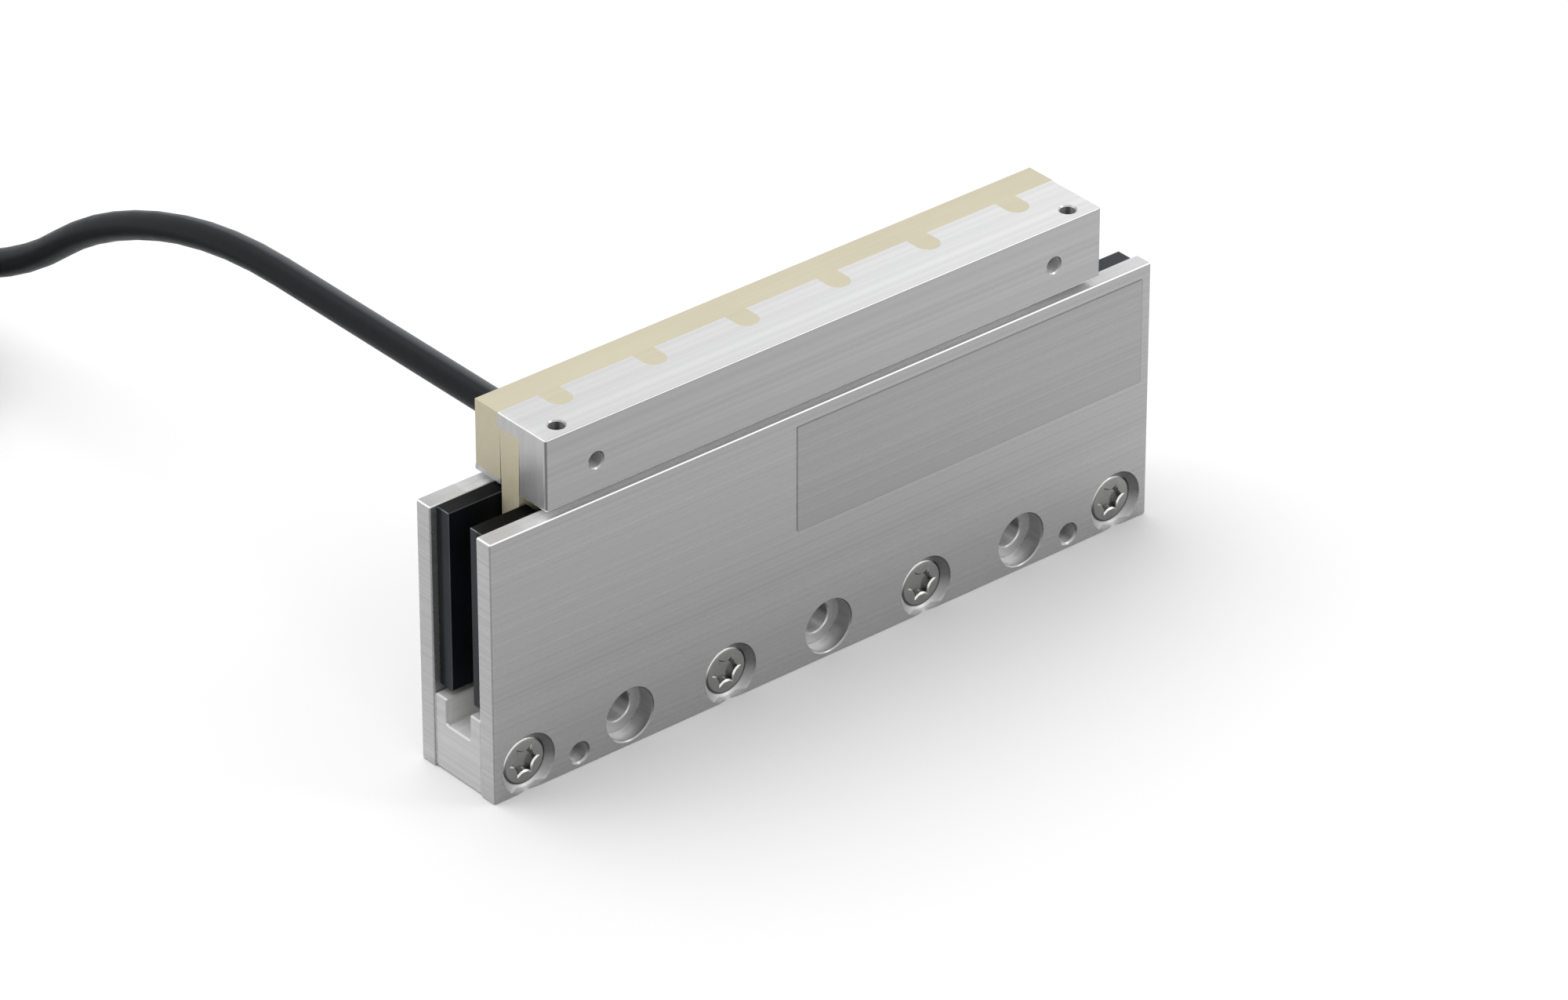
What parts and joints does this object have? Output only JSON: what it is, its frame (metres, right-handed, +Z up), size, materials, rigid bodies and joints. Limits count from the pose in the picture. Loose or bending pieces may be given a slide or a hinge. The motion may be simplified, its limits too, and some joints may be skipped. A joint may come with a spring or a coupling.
{
  "type": "ironless linear motor",
  "caption": "Ironless linear motor: a narrow steel channel lined with magnets, and a flat potted coil unit on an aluminium bar that slides along it, with a trailing cable.",
  "frame": {"origin": "under the middle of the magnet yoke, on the surface it stands on", "axes": "+X along the travel, +Y across the yoke towards its back face, where the cable leaves, +Z up"},
  "size_m": [0.1208, 0.1271, 0.0361],
  "materials": {
    "yoke_plate_steel": "nickel plated, brushed along the length",
    "spacer_steel": "nickel plated, milled",
    "magnet_coating": "black epoxy coating",
    "screw_steel": "bright, turned",
    "bar_aluminium": "brushed along the length",
    "strip_aluminium": "satin",
    "casting_resin": "smooth cast epoxy, machined flush",
    "copper_wire": "enamelled copper",
    "board_laminate": "solder mask",
    "sensor_case": "moulded",
    "cable_jacket": "smooth dark grey jacket",
    "tie_plastic": "plastic-covered flat wire",
    "shrink_sleeve": "shrunk on",
    "lead_brown": "core insulation",
    "lead_black": "core insulation",
    "lead_grey": "core insulation",
    "lead_green": "core insulation",
    "tinned_ferrule": "tinned copper, crimped"
  },
  "bodies": {
    "yoke": {"front_yoke_plate": "yoke_plate_steel", "rear_yoke_plate": "yoke_plate_steel", "yoke_spacer": "spacer_steel", "front_magnet_1": "magnet_coating", "front_magnet_2": "magnet_coating", "front_magnet_3": "magnet_coating", "front_magnet_4": "magnet_coating", "front_magnet_5": "magnet_coating", "front_magnet_6": "magnet_coating", "front_magnet_7": "magnet_coating", "front_magnet_8": "magnet_coating", "front_magnet_9": "magnet_coating", "front_magnet_10": "magnet_coating", "rear_magnet_1": "magnet_coating", "rear_magnet_2": "magnet_coating", "rear_magnet_3": "magnet_coating", "rear_magnet_4": "magnet_coating", "rear_magnet_5": "magnet_coating", "rear_magnet_6": "magnet_coating", "rear_magnet_7": "magnet_coating", "rear_magnet_8": "magnet_coating", "rear_magnet_9": "magnet_coating", "rear_magnet_10": "magnet_coating", "front_screw_1": "screw_steel", "front_screw_2": "screw_steel", "front_screw_3": "screw_steel", "front_screw_4": "screw_steel", "rear_screw_1": "screw_steel", "rear_screw_2": "screw_steel", "rear_screw_3": "screw_steel", "rear_screw_4": "screw_steel"},
    "coil_unit": {"mounting_bar": "bar_aluminium", "wiring_block": "casting_resin", "block_base_strip": "strip_aluminium", "coil_carrier": "casting_resin", "carrier_cover": "casting_resin", "coil_1": "copper_wire", "coil_2": "copper_wire", "coil_3": "copper_wire", "coil_4": "copper_wire", "coil_5": "copper_wire", "coil_6": "copper_wire", "coil_leads": "copper_wire", "interconnect_board": "board_laminate", "temperature_sensor": "sensor_case", "cable_cores": "copper_wire", "cable": "cable_jacket", "cable_coil": "cable_jacket", "cable_tail": "cable_jacket", "cable_tie": "tie_plastic", "cable_end_sleeve": "shrink_sleeve", "lead_1": "lead_brown", "lead_2": "lead_black", "lead_3": "lead_grey", "lead_4": "lead_green", "lead_ferrules": "tinned_ferrule"}
  },
  "joints": [
    {"name": "coil_unit_slide", "type": "slide", "parent": "yoke", "child": "coil_unit", "axis": [1, 0, 0], "range_m": [-0.0066, 0.0064]}
  ]
}
